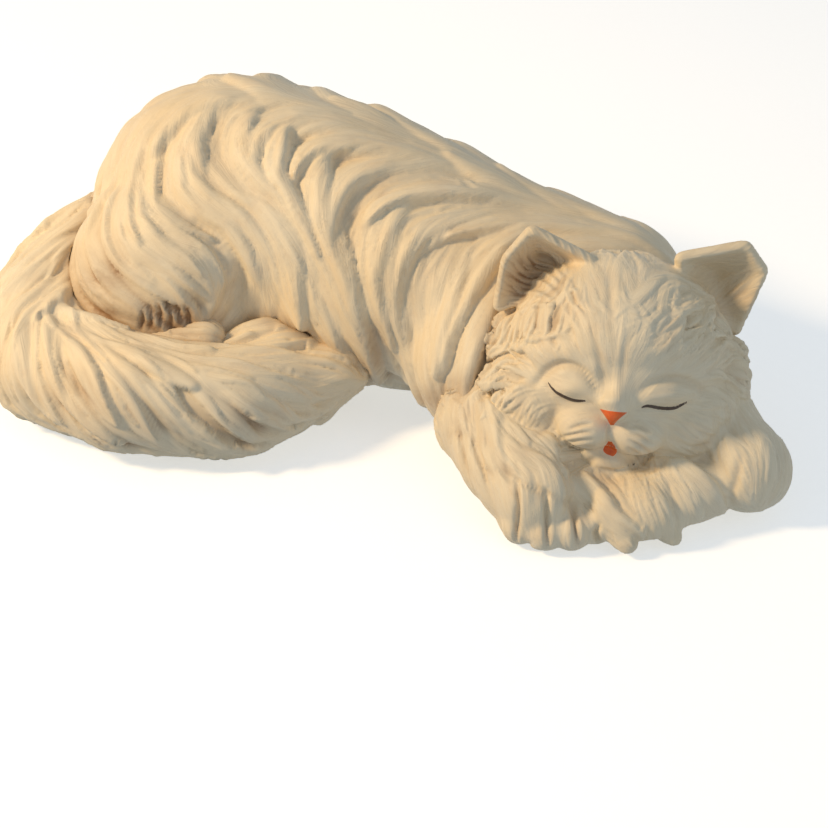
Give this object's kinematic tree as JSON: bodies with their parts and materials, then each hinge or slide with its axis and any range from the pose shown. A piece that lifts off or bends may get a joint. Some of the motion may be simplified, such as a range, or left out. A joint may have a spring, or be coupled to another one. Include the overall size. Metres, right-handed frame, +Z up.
{
  "type": "ceramic cat figurine",
  "caption": "Free-standing ceramic figurine of a long-haired cat asleep with its head on its paws and its tail curled round.",
  "frame": {"origin": "on the resting surface, under the middle of the figure's bounding box", "axes": "+X from the tail end to the head end, -Y the way the face looks, +Z up"},
  "size_m": [0.332, 0.2398, 0.1175],
  "materials": {
    "bisque": "matt cream bisque with a thin tan wash left in the carved grooves",
    "nose_red": "orange-red ceramic colour, brushed on, slight sheen",
    "lash_black": "brown-black ceramic colour, thin brushed line",
    "felt": "brown pressed wool felt"
  },
  "bodies": {
    "root": {"trunk_shell": "bisque", "head_shell": "bisque", "ruff": "bisque", "tail_shell": "bisque", "right_hind_leg": "bisque", "right_hind_paw": "bisque", "left_hind_leg": "bisque", "right_foreleg": "bisque", "left_foreleg": "bisque", "right_ear": "bisque", "left_ear": "bisque", "nose_paint": "nose_red", "mouth_paint": "nose_red", "right_lash_line": "lash_black", "left_lash_line": "lash_black", "felt_pads": "felt"}
  },
  "joints": []
}
